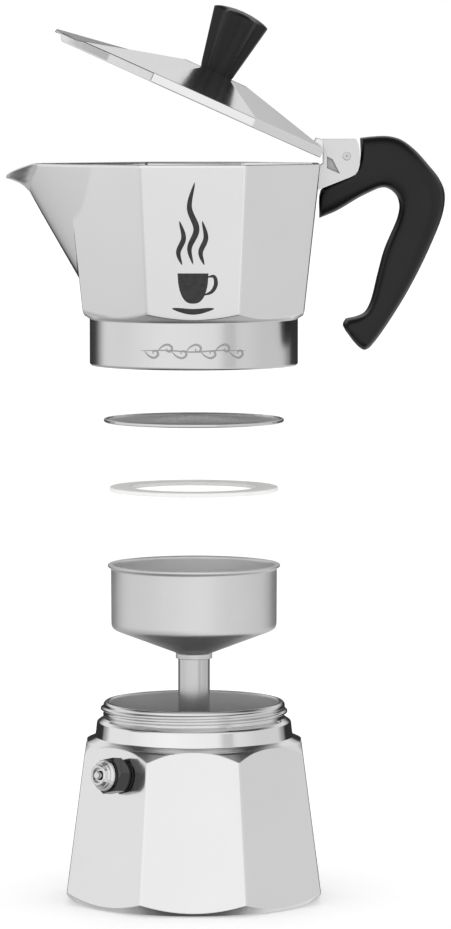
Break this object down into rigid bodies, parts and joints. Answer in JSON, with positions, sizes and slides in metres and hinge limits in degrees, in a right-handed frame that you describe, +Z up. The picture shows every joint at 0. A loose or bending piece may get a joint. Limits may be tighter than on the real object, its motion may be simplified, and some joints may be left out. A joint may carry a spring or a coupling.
{
  "type": "stovetop coffee pot",
  "caption": "Eight-sided aluminium stovetop coffee pot, taken apart along its axis: boiler with valve, funnel, gasket, filter plate, spouted collector with hinged lid and handle",
  "frame": {"origin": "middle of the boiler's underside, on the axis that all the turned pieces share", "axes": "+Z up along the pot's axis, +X towards the handle, -X towards the spout"},
  "size_m": [0.1538, 0.091, 0.3137],
  "materials": {
    "cast_aluminium": "polished casting",
    "spun_aluminium": "satin",
    "plate_aluminium": "satin",
    "valve_steel": "bright plated",
    "nose_steel": "bright turned",
    "spring_steel": "drawn",
    "brass": "turned",
    "bakelite": "moulded, semi-gloss black",
    "silicone": "matte white",
    "fibre": "matte black-brown"
  },
  "bodies": {
    "boiler": {"boiler": "cast_aluminium", "valve_body": "valve_steel", "valve_washer": "fibre", "valve_nut": "brass", "valve_cap": "nose_steel", "valve_spring": "spring_steel"},
    "valve_poppet": {"valve_pin": "brass", "valve_seal": "silicone"},
    "funnel": {"funnel_cup": "spun_aluminium", "funnel_stem": "spun_aluminium", "funnel_strainer": "plate_aluminium"},
    "gasket": {"gasket": "silicone"},
    "filter_plate": {"filter_plate": "plate_aluminium"},
    "column": {"coffee_column": "spun_aluminium"},
    "collector": {"collector": "cast_aluminium", "hinge_pin": "spring_steel", "handle": "bakelite", "handle_pin": "spring_steel"},
    "lid": {"lid": "cast_aluminium", "knob": "bakelite", "knob_washer": "spring_steel", "knob_insert": "brass", "knob_screw": "spring_steel"}
  },
  "joints": [
    {"name": "valve_relief", "type": "slide", "parent": "boiler", "child": "valve_poppet", "axis": [-0.7013, -0.7013, 0.1282], "range_m": [0, 0.0015], "stiffness_N_per_m": 100, "springref_m": -0.01, "deforming": ["valve_spring"]},
    {"name": "funnel_lift", "type": "slide", "parent": "boiler", "child": "funnel", "axis": [0, 0, 1], "range_m": [-0.0473, 0]},
    {"name": "gasket_lift", "type": "slide", "parent": "funnel", "child": "gasket", "axis": [0, 0, 1], "range_m": [-0.0255, 0]},
    {"name": "plate_lift", "type": "slide", "parent": "gasket", "child": "filter_plate", "axis": [0, 0, 1], "range_m": [-0.0224, 0]},
    {"name": "collector_lift", "type": "slide", "parent": "filter_plate", "child": "column", "axis": [0, 0, 1], "range_m": [-0.0354, 0]},
    {"name": "screw_turn", "type": "hinge", "parent": "column", "child": "collector", "pos_m": [0, 0, 0.2], "axis": [0, 0, 1], "range_deg": [0, 450]},
    {"name": "lid_hinge", "type": "hinge", "parent": "collector", "child": "lid", "pos_m": [0.0533, 0, 0.2612], "axis": [0, 1, 0], "range_deg": [-24.2, 76]}
  ]
}
